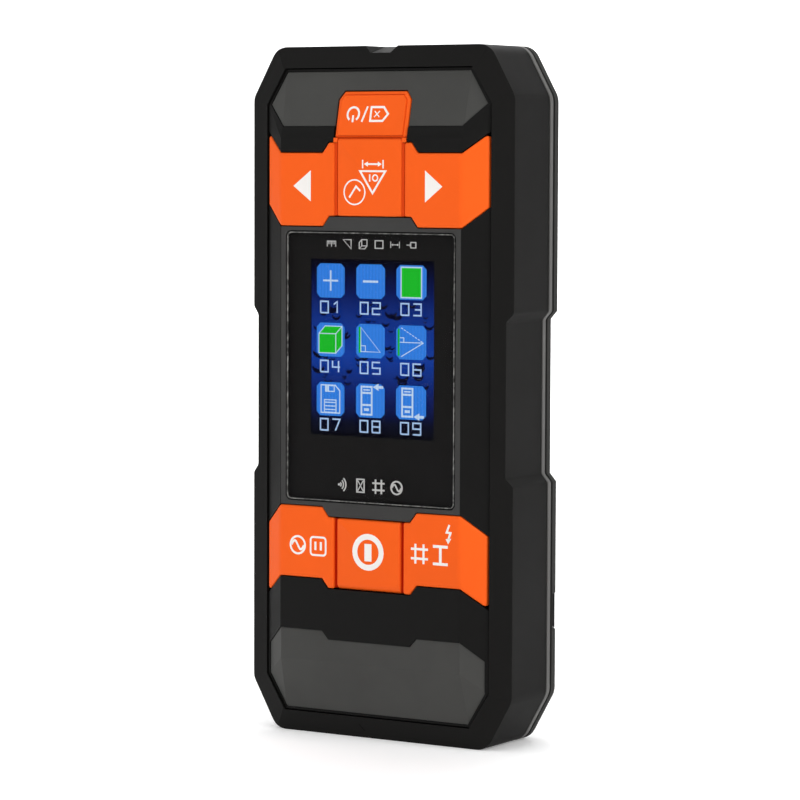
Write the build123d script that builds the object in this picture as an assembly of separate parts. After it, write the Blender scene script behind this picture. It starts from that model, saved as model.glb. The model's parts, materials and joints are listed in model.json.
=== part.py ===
"""Handheld wall scanner with a laser distance meter: a stud finder built as its separate pieces.

Row frame: X across the face, Z up along the body, Y from the front (-Y) to the back (+Y).
The origin is at the centre of the body's bounding box, on the end face that it stands on.
Depths, such as board_front, are millimetres behind the flat middle of the front face.
"""

import math
import os

from build123d import *

# ---------------------------------------------------------------- overall sizes
height = 155.4            # end to end
housing_half = 34.3       # half width of the front housing
total_depth = 28.0        # key faces to the glide pads on the back
key_proud = 0.3           # how far the keys stand out of the front face
pad_proud = 0.4           # how far the glide pads stand out of the back

shell_step = 0.2          # seam band and rear cover stand out of the side walls
corner_cut_x = 6.4        # cut corners of the outline, across and along
corner_cut_z = 11.4
corner_round = 4.5
waist_low = 58.7          # finger waist on both sides
waist_high = 96.7
waist_inset = 1.6
waist_ramp = 1.8
waist_round = 1.2

# ---------------------------------------------------------------- clearances and walls
wall = 2.2
cover_wall = 1.8
fit_gap = 0.25            # visible gap round the fascia
slip = 0.15               # ordinary clearance between separate pieces
touch = 0.02              # clearance of a screw in its thread
inlay_gap = 0.05          # clearance round the thin inlays

# ---------------------------------------------------------------- depths, front to back
bevel_back = 4.84         # outer edge of the sloping front rim
bevel_rise = 0.38         # slope of that rim: depth lost for each mm inwards
border_deep = 3.6         # depth of the rear cover's sloping border
border_wide = 3.0         # its width, seen from behind
cover_side = 1.6          # straight side of the rear cover
groove_gap = 0.7          # groove between seam band and rear cover
band_deep = 1.3
band_wide = 0.9
back_face = total_depth - key_proud - pad_proud
cover_edge = back_face - border_deep
cover_front = cover_edge - cover_side
band_back = cover_front - groove_gap
band_front = band_back - band_deep
lip_front = band_front + 0.5
housing_back = band_front - 0.1
shell_half = housing_half + shell_step

# ---------------------------------------------------------------- faceted front face
rim_width = 5.1           # housing's rim, seen from the front
rim_end = 5.1             # the same at the top and bottom ends
side_slope = 5.5          # width of the sloping sides
slope_drop = 3.35         # depth of the face along its outer edge
top_slope = 20.5          # where the face starts to slope away, from each end
bottom_slope = 17.2
fascia_cut_x = 4.9        # cut corners of the fascia
fascia_cut_z = 7.85
fascia_skin = 2.4
fascia_skirt = 1.8
inlay = 0.8               # thickness of the grey inlays
trim_sink = 0.2           # how far the two end trims lie below the face
trim_border = 0.75        # black border left round the inlays
fascia_half = housing_half - rim_width
flat_half = fascia_half - side_slope
fascia_corner_x = fascia_half - fascia_cut_x
fascia_bottom = rim_end
fascia_top = height - rim_end
fascia_corner_bottom = fascia_bottom + fascia_cut_z
fascia_corner_top = fascia_top - fascia_cut_z
crease_top = height - top_slope
crease_bottom = bottom_slope
upper_trim_low = height - 17.9
lower_trim_high = 24.2
lower_trim_notch = 1.9    # how far its top edge dips in the middle
lower_trim_side = 20.1

# ---------------------------------------------------------------- keys
key_deep = 0.65           # key sides below the face's outer edge
key_travel = 0.5
key_gap = 0.2             # key to fascia
key_skin = 1.2
key_corner = 0.5
key_border = 0.3          # fascia's border to the outer keys' sides
side_key_inner = 9.15
middle_key_half = 8.45
step_inner = 10.8         # chevron step in the key edges
step_outer = 12.5
flange_reach = 0.7
flange_front = fascia_skin + 0.05
key_back = slope_drop + key_deep
opening_back = key_back + key_travel + 0.3
key_outer = fascia_half - key_border
upper_row_z = height - 31.5
lower_row_z = 42.8
side_key_x = 17.5
upper_low = upper_row_z - 8.6
upper_high = upper_row_z + 7.7
upper_step_low = upper_row_z - 6.3
upper_step_high = upper_row_z + 10.0
upper_wing_low = upper_row_z - 4.0
upper_wing_high = upper_row_z + 12.05
lower_low = lower_row_z - 6.7
lower_high = lower_row_z + 9.4
lower_step_low = lower_row_z - 8.8
lower_step_high = lower_row_z + 7.2
lower_wing_low = lower_row_z - 10.9
lower_wing_high = lower_row_z + 4.95
off_key_half = 9.45
off_key_low = crease_top + 0.1
off_key_corner_x = 8.1
off_key_corner = off_key_low + 8.4
off_key_high = off_key_low + 10.25
off_row_z = off_key_low + 4.65
column_gap = 0.25         # between the middle key and the key above it

# ---------------------------------------------------------------- display
window_margin = 1.5       # grey surround beside the window
window_low = lower_high + 1.3
window_high = upper_low - 1.2
window_round = 1.2
window_front = 0.12
window_thick = 1.0
gasket_thick = 0.15
gasket_width = 3.0
panel_half = 18.2         # standard 2.0 inch display module
panel_tall = 48.7
panel_thick = 1.6
backlight_thick = 1.6
backlight_recess = 0.4    # hollow in the tray's back
backlight_border = 6.2
flex_half = 8.0
flex_thick = 0.2
window_half = flat_half - window_margin
panel_low = window_low + 9.2
panel_high = panel_low + panel_tall
flex_bend = panel_low - 4.5
flex_foot = 4.0           # length soldered to the main board

# ---------------------------------------------------------------- key mechanism
plunger_r = 2.5
mat_front = key_back + key_travel + slip
mat_thick = 0.8
mat_inset = 3.7
mat_margin = 2.0
switch_thick = 2.4
switch_side = 6.0
stem_r = 1.6
stem_long = 1.75
mat_half = fascia_half - mat_inset

# ---------------------------------------------------------------- boards and what they carry
ledge_thick = 1.4         # housing's ledge, which carries the fascia and the boards
board_thick = 1.6
ledge_front = opening_back + 1.0
ledge_back = ledge_front + ledge_thick
board_front = ledge_back + 1.2
board_low = 28.0
board_high = height - 7.0
board_cut_z = height - 29.0
board_cut_x = 17.0
post_r = 2.0
board_half = housing_half - wall - waist_inset - 0.5
board_back = board_front + board_thick
post_x = board_half - 1.0
board_post_z = (36.0, height - 37.0)
switch_front = board_front - switch_thick
plunger_back = switch_front - 0.85
stem_back = plunger_back + stem_long
stem_well = stem_back + key_travel + 0.2
battery_half = 17.0
battery_low = 52.0
battery_tall = 50.0
battery_pad_thick = 0.8
battery_pad_border = 5.0
battery_thick = 6.0
battery_round = 1.5
lead_r = 0.6
lead_pitch = 2.2
lead_bend = 3.5
lead_x = 11.0             # where the leads leave the cell
plug_x = 23.5
plug_wide = 7.0
plug_tall = 6.0
plug_high = 76.0
plug_thick = 4.0
battery_high = battery_low + battery_tall
buzzer_r = 6.0
buzzer_thick = 3.2
buzzer_hole_r = 1.0
buzzer_x = -15.0
buzzer_z = height - 27.0
sensor_half = 22.0
sensor_tall = 38.0
sensor_thick = 1.2
sensor_high = height - 9.0
sensor_low = sensor_high - sensor_tall
sensor_front = back_face - 5.5
coil_z = height - 28.0
coil_outer = 13.5
coil_inner = 11.0
former_rim = 14.5
former_flange = 0.5

# ---------------------------------------------------------------- laser end
chassis_half = 17.0
chassis_low = wall + 1.0
chassis_high = 26.0
chassis_back = housing_back - 1.0
optic_depth = (ledge_back + chassis_back) / 2
laser_half = 16.5         # half width of the end window
laser_tall = 12.0
laser_recess = 0.6
laser_pane = 1.2
laser_ledge = 1.5
barrel_x = -10.0
barrel_r = 4.5
barrel_long = 14.0
beam_r = 2.6
receiver_x = 5.0
receiver_r = 5.5
lens_thick = 2.4
laser_lens_thick = 1.6
cone_tip_r = 1.5          # the receiver's light cone narrows to this
cone_step = 0.6
barrel_floor = 4.0
receiver_board_thick = 1.2
receiver_board_half = 14.0
receiver_board_inset = 3.2
ear_x = 21.0
ear_z = chassis_low + 1.7
ear_thick = 2.0
ear_reach = 2.5

# ---------------------------------------------------------------- charging port, right side
port_z = 29.6
port_tall = 8.2
port_deep = 3.1
port_front = cover_front + 0.3
port_back = port_front + port_deep
socket_long = 5.6
socket_outer = shell_half - 1.1
socket_wall = 0.3
tongue_thick = 0.7
tongue_half = 2.6
tongue_sink = 0.8         # tongue's end inside the socket's mouth
charge_thick = 1.0
charge_wide = 9.0
charge_tall = 16.0
charge_lap = 1.2          # board under the socket

# ---------------------------------------------------------------- screws, pads, marks
case_screw_x = housing_half - 7.3
case_screw_z = (14.0, height - 16.0)
case_screw_r = 1.25
case_boss_r = 3.0
case_head_r = 2.4
case_head_thick = 1.6
case_head_sink = 2.2      # head face below the back
cross_half = 1.4          # cross slot in the heads
cross_wide = 0.6
cross_deep = 0.9
board_screw_r = 0.9
board_screw_head_r = 1.7
board_screw_head = 0.9
pad_long = 40.0
pad_tall = 7.0
pad_thick = 0.9
pad_z = (9.5, height - 9.5)
plate_wide = 36.0
plate_tall = 46.0
plate_z = 80.0
plate_thick = 0.5
notch_half_top = 4.2      # centre-marking notch in the top end
notch_half_floor = 2.65
notch_deep = 1.6
notch_ramp_back = 13.0
groove_wide = 0.8         # sensing frame and centre lines engraved on the back
groove_deep = 0.35
frame_half = 16.0
frame_tall = 24.0
frame_tick = 5.0

front_y = -total_depth / 2 + key_proud
middle_z = height / 2


# ================================================================ helpers
def depth_y(depth):
    """Row-frame Y of a depth behind the flat front."""
    return front_y + depth


def point(x, depth, z):
    return Vector(x, depth_y(depth), z)


def slab(outline, front, back):
    """The outline's x and y become X and Z, between two depths."""
    plane = Plane(origin=(0, depth_y(back), 0), x_dir=(1, 0, 0), z_dir=(0, -1, 0))
    return extrude(plane * outline, back - front, dir=(0, -1, 0))


def block(x0, x1, front, back, z0, z1):
    """A box between two X, two depths and two Z."""
    centre = Pos((x0 + x1) / 2, depth_y((front + back) / 2), (z0 + z1) / 2)
    return centre * Box(x1 - x0, back - front, z1 - z0)


def rod(x, z, radius, front, back):
    """A cylinder that runs from front to back."""
    centre = Pos(x, depth_y((front + back) / 2), z) * Rot(90, 0, 0)
    return centre * Cylinder(radius, back - front)


def upright(x, depth, radius, z0, z1):
    """A cylinder that runs up the body."""
    return Pos(x, depth_y(depth), (z0 + z1) / 2) * Cylinder(radius, z1 - z0)


def polygon(points):
    return Polygon(*points, align=None)


def both_sides(right):
    """A closed outline from its right half, listed from the bottom to the top."""
    return polygon(right + [(-x, z) for x, z in reversed(right)])


def flipped(points):
    return [(-x, z) for x, z in points]


def grown(outline, amount):
    return offset(outline, amount, kind=Kind.INTERSECTION)


def keep_behind(solid, origin, normal):
    """Cuts away what lies in front of a plane, on the side its normal points to."""
    return split(solid, bisect_by=Plane(origin=origin, z_dir=normal), keep=Keep.BOTTOM)


# ================================================================ outlines
def case_polygon(half, inset=0.0):
    """The cut-cornered outline with the finger waist, before its corners are rounded."""
    right = [
        (half - corner_cut_x, 0),
        (half, corner_cut_z),
        (half, waist_low),
        (half - waist_inset, waist_low + waist_ramp),
        (half - waist_inset, waist_high - waist_ramp),
        (half, waist_high),
        (half, height - corner_cut_z),
        (half - corner_cut_x, height),
    ]
    outline = both_sides(right)
    return grown(outline, -inset) if inset else outline


def is_waist(vertex):
    return waist_low - wall < vertex.Y < waist_high + wall


def case_outline(half, inset=0.0):
    """The outline with rounded corners, moved in by inset; the waist stays crisp."""
    raw = case_polygon(half, inset)
    corners = [v for v in raw.vertices() if not is_waist(v)]
    return fillet(corners, corner_round - min(inset, corner_round - 0.8))


def soft_waist(outline):
    """Rounds the corners of the finger waist."""
    waist = [v for v in outline.vertices() if waist_low - 1e-3 < v.Y < waist_high + 1e-3]
    return fillet(waist, waist_round)


def fascia_outline(inset=0.0):
    right = [
        (fascia_corner_x, fascia_bottom),
        (fascia_half, fascia_corner_bottom),
        (fascia_half, fascia_corner_top),
        (fascia_corner_x, fascia_top),
    ]
    outline = both_sides(right)
    return grown(outline, -inset) if inset else outline


def wing_line(low_z, wing_z, x):
    """Height at x of a key edge that runs from the crease out to the wing."""
    return low_z + (wing_z - low_z) * (x - flat_half) / (key_outer - flat_half)


def upper_side_key(outer=key_outer):
    return [
        (side_key_inner, upper_step_low),
        (step_inner, upper_step_low),
        (step_outer, upper_low),
        (flat_half, upper_low),
        (outer, wing_line(upper_low, upper_wing_low, outer)),
        (outer, wing_line(upper_high, upper_wing_high, outer)),
        (flat_half, upper_high),
        (step_outer, upper_high),
        (step_inner, upper_step_high),
        (side_key_inner, upper_step_high),
    ]


def lower_side_key(outer=key_outer):
    return [
        (side_key_inner, lower_step_low),
        (step_inner, lower_step_low),
        (step_outer, lower_low),
        (flat_half, lower_low),
        (outer, wing_line(lower_low, lower_wing_low, outer)),
        (outer, wing_line(lower_high, lower_wing_high, outer)),
        (flat_half, lower_high),
        (step_outer, lower_high),
        (step_inner, lower_step_high),
        (side_key_inner, lower_step_high),
    ]


def box_points(half, low, high):
    return [(-half, low), (half, low), (half, high), (-half, high)]


def off_key_points():
    return [
        (-off_key_half, off_key_low),
        (off_key_half, off_key_low),
        (off_key_half, off_key_corner),
        (off_key_corner_x, off_key_high),
        (-off_key_corner_x, off_key_high),
        (-off_key_half, off_key_corner),
    ]


def upper_opening():
    """Hole in the fascia for the four upper keys, open to the sides."""
    wide = fascia_half + 1.0
    middle = box_points(off_key_half, upper_step_low, off_key_low + 1)
    right = upper_side_key(wide)
    shape = polygon(right) + polygon(flipped(right)) + polygon(middle) + polygon(off_key_points())
    return grown(shape, key_gap)


def lower_opening():
    wide = fascia_half + 1.0
    middle = box_points(off_key_half, lower_step_low, lower_step_high)
    right = lower_side_key(wide)
    return grown(polygon(right) + polygon(flipped(right)) + polygon(middle), key_gap)


def window_outline(gap=0.0):
    raw = polygon(box_points(window_half + gap, window_low - gap, window_high + gap))
    return fillet(raw.vertices(), window_round + gap)


# ================================================================ faceted face
def facet(a, b, c):
    """A plane through three points of the face, with its normal towards the front."""
    normal = (b - a).cross(c - a).normalized()
    return a, (normal if normal.Y < 0 else normal * -1)


def facets():
    """The nine planes of the front face."""
    edge = slope_drop
    planes = [(point(0, 0, middle_z), Vector(0, -1, 0))]
    for side in (-1, 1):
        inner = point(side * flat_half, 0, middle_z)
        outer = point(side * fascia_half, edge, middle_z)
        planes.append(facet(inner, outer, inner + Vector(0, 0, 1)))
    for crease, end in ((crease_top, fascia_top), (crease_bottom, fascia_bottom)):
        start = point(0, 0, crease)
        planes.append(facet(start, point(0, edge, end), start + Vector(1, 0, 0)))
    corners = (
        (crease_top, fascia_top, fascia_corner_top),
        (crease_bottom, fascia_bottom, fascia_corner_bottom),
    )
    for crease, end, side_z in corners:
        for side in (-1, 1):
            planes.append(
                facet(
                    point(side * flat_half, 0, crease),
                    point(side * fascia_corner_x, edge, end),
                    point(side * fascia_half, edge, side_z),
                )
            )
    return planes


def face_block(proud):
    """Everything behind the faceted face, moved out by proud or in by a negative amount."""
    solid = block(-40, 40, -3, 12, -10, height + 10)
    for origin, normal in facets():
        solid = keep_behind(solid, origin + normal * proud, normal)
    return solid


def rim_edges(half):
    """A point and the outward direction of each of the outline's eight sides."""
    cut = math.hypot(corner_cut_x, corner_cut_z)
    across, along = corner_cut_z / cut, corner_cut_x / cut
    edges = [((0, height), (0, 1)), ((0, 0), (0, -1))]
    for side in (-1, 1):
        edges.append(((side * half, middle_z), (side, 0)))
        edges.append(((side * half, height - corner_cut_z), (side * across, along)))
        edges.append(((side * half, corner_cut_z), (side * across, -along)))
    return edges


def slope_rim(solid):
    """Slopes the front rim of the housing inwards, in one plane for each of its sides."""
    for (x, z), (nx, nz) in rim_edges(housing_half):
        normal = Vector(nx * bevel_rise, -1, nz * bevel_rise).normalized()
        solid = keep_behind(solid, point(x, bevel_back, z), normal)
    return solid


def tapered(half, inset_front, inset_back, front, back):
    """A solid whose outline shrinks evenly from one depth to another, waist included."""
    outlines = []
    for inset, depth in ((inset_front, front), (inset_back, back)):
        plane = Plane(origin=(0, depth_y(depth), 0), x_dir=(1, 0, 0), z_dir=(0, -1, 0))
        outlines.append(plane * case_outline(half, inset))
    return loft(outlines, ruled=True)


# ================================================================ casing
def front_housing():
    body = slope_rim(slab(soft_waist(case_outline(housing_half)), 1.0, housing_back))
    body -= slab(grown(fascia_outline(), fit_gap), 0, ledge_front)
    body -= slab(fascia_outline(wall), 0, ledge_back)
    body -= slab(case_outline(housing_half, wall), ledge_back, housing_back)
    for z in case_screw_z:
        for side in (-1, 1):
            boss = rod(side * case_screw_x, z, case_boss_r, ledge_back, housing_back)
            bore = rod(side * case_screw_x, z, case_screw_r + touch, ledge_back, housing_back)
            body = body + boss - bore
    for z in board_post_z:
        for side in (-1, 1):
            post = rod(side * post_x, z, post_r, ledge_front, board_front)
            bore = rod(side * post_x, z, board_screw_r + touch, ledge_front + 1, board_front)
            body = body + post - bore
    for side in (-1, 1):
        body -= rod(side * ear_x, ear_z, board_screw_r + touch, ledge_front + 0.4, ledge_back)
    body -= laser_opening()
    return body - marking_notch()


def laser_opening():
    """Recess, seat and through hole for the window in the end that the laser leaves."""
    front, back = optic_depth - laser_tall / 2, optic_depth + laser_tall / 2
    seat = block(-laser_half, laser_half, front, back, -1, laser_recess + laser_pane)
    through = block(
        -laser_half + laser_ledge,
        laser_half - laser_ledge,
        front + laser_ledge,
        back - laser_ledge,
        0,
        wall + 1,
    )
    return seat + through


def marking_notch():
    """A notch that lets a pencil reach the wall on the centre line; its floor ramps up."""
    above = 1.0
    flare = (notch_half_top - notch_half_floor) / notch_deep
    mouth = notch_half_top + above * flare
    outline = polygon(
        [
            (-notch_half_floor, height - notch_deep),
            (notch_half_floor, height - notch_deep),
            (mouth, height + above),
            (-mouth, height + above),
        ]
    )
    cut = slab(outline, 0, notch_ramp_back)
    ramp_start = point(0, bevel_back, height - notch_deep)
    ramp_end = point(0, notch_ramp_back, height)
    along = ramp_end - ramp_start
    down = Vector(0, along.Z, -along.Y)
    return keep_behind(cut, ramp_start, down)


def seam_band():
    ring = slab(soft_waist(case_outline(shell_half)), band_front, band_back)
    return ring - slab(case_outline(shell_half, band_wide), band_front, band_back)


def rear_cover():
    inner_floor = back_face - cover_wall
    body = slab(case_outline(shell_half), cover_front, cover_edge)
    body += tapered(shell_half, 0, border_wide, cover_edge, back_face)
    body += slab(case_outline(shell_half, 1.0), lip_front, cover_front)
    body -= slab(case_outline(shell_half, wall), lip_front, cover_edge)
    body -= tapered(shell_half, wall, wall + border_wide, cover_edge, inner_floor)
    for z in case_screw_z:
        for side in (-1, 1):
            x = side * case_screw_x
            body += rod(x, z, case_boss_r, housing_back + slip, inner_floor)
            body -= rod(x, z, case_screw_r + slip, housing_back, back_face)
            seat = back_face - case_head_sink - case_head_thick
            body += rod(x, z, case_head_r + 1.2, seat - 1.2, inner_floor)
            body -= rod(x, z, case_screw_r + slip, housing_back, back_face)
            body -= rod(x, z, case_head_r + slip, seat, back_face)
    body -= block(
        socket_outer - socket_long - 1,
        shell_half + 1,
        port_front,
        port_back,
        port_z - port_tall / 2,
        port_z + port_tall / 2,
    )
    pocket = pad_thick - pad_proud
    for z in pad_z:
        body -= pad_shape(z, back_face - pocket, back_face, slip)
    body -= plate_shape(back_face - plate_thick, back_face, slip)
    return body - back_grooves()


def pad_shape(z, front, back, gap=0.0):
    outline = SlotOverall(pad_long + 2 * gap, pad_tall + 2 * gap)
    return slab(Pos(0, z) * outline, front, back)


def plate_shape(front, back, gap=0.0):
    outline = RectangleRounded(plate_wide + 2 * gap, plate_tall + 2 * gap, 2.0 + gap)
    return slab(Pos(0, plate_z) * outline, front, back)


def back_grooves():
    """Sensing frame and centre lines engraved on the back, in line with the notch."""
    front = back_face - groove_deep
    half, tick = frame_half, frame_tick
    low, high = coil_z - frame_tall / 2, coil_z + frame_tall / 2
    frame = polygon(box_points(half, low, high))
    grooves = frame - grown(frame, -groove_wide)
    for x0, x1, z0, z1 in (
        (-groove_wide / 2, groove_wide / 2, high, high + tick / 2),
        (-groove_wide / 2, groove_wide / 2, low - tick, low),
        (half, half + tick, coil_z - groove_wide / 2, coil_z + groove_wide / 2),
        (-half - tick, -half, coil_z - groove_wide / 2, coil_z + groove_wide / 2),
    ):
        grooves += polygon([(x0, z0), (x1, z0), (x1, z1), (x0, z1)])
    return slab(grooves, front, back_face + 1)


# ================================================================ front face pieces
def upper_trim_outline():
    right = [
        (flat_half - 0.3, upper_trim_low),
        (fascia_half - trim_border, fascia_corner_top),
        (fascia_corner_x - 0.3, fascia_top - 0.55),
    ]
    return both_sides(right) - upper_opening()


def lower_trim_outline():
    right = [
        (fascia_corner_x - 0.3, fascia_bottom + 0.55),
        (fascia_half - trim_border, fascia_corner_bottom),
        (fascia_half - trim_border, lower_trim_side),
        (flat_half, lower_trim_high),
        (step_outer, lower_trim_high),
        (step_inner, lower_trim_high - lower_trim_notch),
    ]
    return both_sides(right)


def surround_outline():
    plate = polygon(box_points(flat_half - inlay_gap, lower_step_high - 4, upper_step_low + 4))
    return plate - upper_opening() - lower_opening()


def inlay_piece(outline, sink=0.0):
    """A thin inlay that follows the faceted face."""
    return (slab(outline, -2, 8) & face_block(-sink)) - face_block(-inlay)


def inlay_pocket(outline):
    return slab(grown(outline, inlay_gap), -2, 8) - face_block(-inlay - inlay_gap)


def fascia():
    front = face_block(0)
    body = slab(fascia_outline(), -2, ledge_front) & front
    body -= slab(fascia_outline(fascia_skirt), -2, ledge_front) & face_block(-fascia_skin)
    body -= slab(upper_opening(), -2, opening_back)
    body -= slab(lower_opening(), -2, opening_back)
    body -= inlay_pocket(upper_trim_outline())
    body -= inlay_pocket(lower_trim_outline())
    body -= inlay_pocket(surround_outline())
    body -= slab(window_outline(slip), -2, window_front + window_thick + gasket_thick)
    lens_seat = polygon(box_points(panel_half + slip, panel_low - slip, panel_high + slip))
    return body - slab(lens_seat, -2, fascia_skin + 1)


def upper_trim():
    return inlay_piece(upper_trim_outline(), trim_sink)


def lower_trim():
    return inlay_piece(lower_trim_outline(), trim_sink)


def screen_surround():
    return inlay_piece(surround_outline()) - slab(window_outline(slip), -2, 4)


def display_window():
    return slab(window_outline(), window_front, window_front + window_thick)


def window_gasket():
    front = window_front + window_thick
    ring = window_outline() - grown(window_outline(), -gasket_width)
    return slab(ring, front, front + gasket_thick)


def lcd_front():
    return window_front + window_thick + gasket_thick + 0.1


def lcd_panel():
    front = lcd_front()
    return block(-panel_half, panel_half, front, front + panel_thick, panel_low, panel_high)


def lcd_backlight():
    front = lcd_front() + panel_thick
    back = front + backlight_thick
    hollow = panel_half - backlight_border
    low, high = panel_low + backlight_border, panel_high - backlight_border
    tray = block(-panel_half, panel_half, front, back, panel_low + 1, panel_high)
    return tray - block(-hollow, hollow, back - backlight_recess, back, low, high)


def lcd_flex():
    front = lcd_front() + panel_thick
    foot_top = flex_bend + flex_foot
    tail = block(-flex_half, flex_half, front, front + flex_thick, flex_bend, panel_low + 1)
    drop = block(-flex_half, flex_half, front, board_front, flex_bend, flex_bend + flex_thick)
    foot = block(-flex_half, flex_half, board_front - flex_thick, board_front, flex_bend, foot_top)
    shape = tail + drop + foot
    bends = [e for e in shape.edges().filter_by(Axis.X) if abs(e.center().Z - flex_bend) < 1e-6]
    return fillet(bends, flex_thick * 0.9)


# ================================================================ keys
def key_cap(outline, pocket_outline, flanges):
    """A shell cap that follows the facets, with flanges that hold it behind the fascia."""
    cap = slab(outline, -2, key_back) & face_block(key_proud)
    cap -= slab(pocket_outline, -2, key_back) & face_block(key_proud - key_skin)
    for x0, x1, z0, z1 in flanges:
        cap += block(x0, x1, flange_front, key_back, z0, z1)
    return cap


def soft_corners(outline):
    """Rounds the corners of a key, except where its edge folds over the side crease."""
    corners = [v for v in outline.vertices() if abs(abs(v.X) - flat_half) > 0.1]
    return fillet(corners, key_corner)


def wing_key(points, side, straight_low, straight_high):
    outline = soft_corners(polygon(points if side > 0 else flipped(points)))
    pocket = grown(polygon(points if side > 0 else flipped(points)), -key_skin)
    inner, outer = sorted((side * (step_outer + 1), side * (flat_half - 1)))
    reach = key_gap + flange_reach
    flanges = [
        (inner, outer, straight_low - reach, straight_low + key_skin),
        (inner, outer, straight_high - key_skin, straight_high + reach),
    ]
    return key_cap(outline, pocket, flanges)


def left_key_cap():
    return wing_key(upper_side_key(), -1, upper_low, upper_high)


def right_key_cap():
    return wing_key(upper_side_key(), 1, upper_low, upper_high)


def detect_key_cap():
    return wing_key(lower_side_key(), -1, lower_low, lower_high)


def metal_key_cap():
    return wing_key(lower_side_key(), 1, lower_low, lower_high)


def middle_key(low, high, flanges):
    points = box_points(middle_key_half, low, high)
    outline = soft_corners(polygon(points))
    return key_cap(outline, grown(polygon(points), -key_skin), flanges)


def measure_key_cap():
    high = off_key_low - column_gap
    low_flange = upper_step_low - key_gap - flange_reach
    reach = middle_key_half - 1
    return middle_key(
        upper_step_low, high, [(-reach, reach, low_flange, upper_step_low + key_skin)]
    )


def power_key_cap():
    reach = middle_key_half - 1
    edge = key_gap + flange_reach
    return middle_key(
        lower_step_low,
        lower_step_high,
        [
            (-reach, reach, lower_step_low - edge, lower_step_low + key_skin),
            (-reach, reach, lower_step_high - key_skin, lower_step_high + edge),
        ],
    )


def clear_key_cap():
    outline = soft_corners(polygon(off_key_points()))
    return key_cap(outline, grown(polygon(off_key_points()), -key_skin), [])


key_places = {
    "left": (-side_key_x, upper_row_z),
    "right": (side_key_x, upper_row_z),
    "measure": (0.0, upper_row_z),
    "clear": (0.0, off_row_z),
    "detect": (-side_key_x, lower_row_z),
    "metal": (side_key_x, lower_row_z),
    "power": (0.0, lower_row_z),
}


def key_plunger(name):
    """The silicone post between the cap and its switch."""
    x, z = key_places[name]
    post = rod(x, z, plunger_r, -2, plunger_back)
    return post & face_block(key_proud - key_skin)


def switch_stem(name):
    x, z = key_places[name]
    return rod(x, z, stem_r, plunger_back, stem_back)


def key_mat(row, outline):
    """Silicone sheet behind a row of keys, with a hole for each plunger."""
    mat = slab(outline, mat_front, mat_front + mat_thick)
    for name in row:
        x, z = key_places[name]
        mat -= rod(x, z, plunger_r + 2 * slip, mat_front, mat_front + mat_thick)
    return mat


def upper_key_mat():
    low, high = upper_low - mat_margin + 0.6, upper_high + mat_margin
    row = polygon(box_points(mat_half, low, high))
    tab = polygon(box_points(off_key_half + mat_margin, low, off_row_z + plunger_r + mat_margin))
    return key_mat(("left", "right", "measure", "clear"), row + tab)


def lower_key_mat():
    low, high = lower_step_low - mat_margin, lower_high + mat_margin
    return key_mat(("detect", "metal", "power"), polygon(box_points(mat_half, low, high)))


def switch_bodies():
    bodies = []
    for x, z in key_places.values():
        half = switch_side / 2
        body = block(x - half, x + half, switch_front, board_front, z - half, z + half)
        bodies.append(body - rod(x, z, stem_r + slip, switch_front, stem_well))
    return Compound(bodies)


# ================================================================ boards and power
def main_board():
    right = [
        (board_half, board_low),
        (board_half, board_cut_z),
        (board_cut_x, board_high),
    ]
    board = slab(both_sides(right), board_front, board_back)
    for z in board_post_z:
        for side in (-1, 1):
            board -= rod(side * post_x, z, board_screw_r + slip, board_front, board_back)
    return board


def chip(x, z, wide, tall, thick):
    return block(x - wide / 2, x + wide / 2, board_back, board_back + thick, z - tall / 2, z + tall / 2)


def board_chips():
    """The larger parts on the back of the main board, above and below the cell."""
    above, below = battery_high + 9, battery_low - 9
    processor = chip(-19, above, 10, 10, 1.4)
    memory = chip(-0.5, above + 0.5, 7, 7, 1.0)
    driver = chip(12.5, above + 13, 5, 8, 1.6)
    amplifier = chip(-4, above + 12.5, 8, 7, 1.2)
    crystal = chip(27.5, above - 26, 3, 6, 2.2)
    charger = chip(-23, below, 6, 6, 1.8)
    converter = chip(-4, below, 12, 6, 1.2)
    return Compound([processor, memory, driver, amplifier, crystal, charger, converter])


def board_screws():
    screws = []
    for z in board_post_z:
        for side in (-1, 1):
            x = side * post_x
            shank = rod(x, z, board_screw_r, ledge_front + 1, board_back)
            head = rod(x, z, board_screw_head_r, board_back, board_back + board_screw_head)
            screws.append(shank + head)
    return Compound(screws)


def battery_pad():
    half = battery_half - battery_pad_border
    low, high = battery_low + battery_pad_border, battery_high - battery_pad_border
    return block(-half, half, board_back, board_back + battery_pad_thick, low, high)


def battery_cell():
    front = board_back + battery_pad_thick
    cell = block(-battery_half, battery_half, front, front + battery_thick, battery_low, battery_high)
    return fillet(cell.edges().filter_by(Axis.Z), battery_round)


def battery_plug():
    left, right = plug_x - plug_wide / 2, plug_x + plug_wide / 2
    return block(left, right, board_back, board_back + plug_thick, plug_high - plug_tall, plug_high)


def battery_leads():
    """Two wires from the cell to its plug, held inside the casing."""
    leads = []
    depth = board_back + plug_thick / 2
    for shift in (0, lead_pitch):
        start_x, end_x = lead_x - shift, plug_x - 1.5 + shift
        turn_z = battery_high + plug_tall + shift
        path = FilletPolyline(
            point(start_x, depth, battery_high),
            point(start_x, depth, turn_z),
            point(end_x, depth, turn_z),
            point(end_x, depth, plug_high),
            radius=lead_bend,
        )
        start = Plane(origin=path @ 0, z_dir=path % 0)
        leads.append(sweep(start * Circle(lead_r), path=path))
    return Compound(leads)


def buzzer():
    back = board_back + buzzer_thick
    can = rod(buzzer_x, buzzer_z, buzzer_r, board_back, back)
    return can - rod(buzzer_x, buzzer_z, buzzer_hole_r, back - buzzer_hole_r, back)


def charge_board():
    back = port_front + slip
    right = socket_outer - socket_long + charge_lap
    left = right - charge_wide
    low, high = port_z - charge_tall / 2, port_z + charge_tall / 2
    return block(left, right, back - charge_thick, back, low, high)


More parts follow.
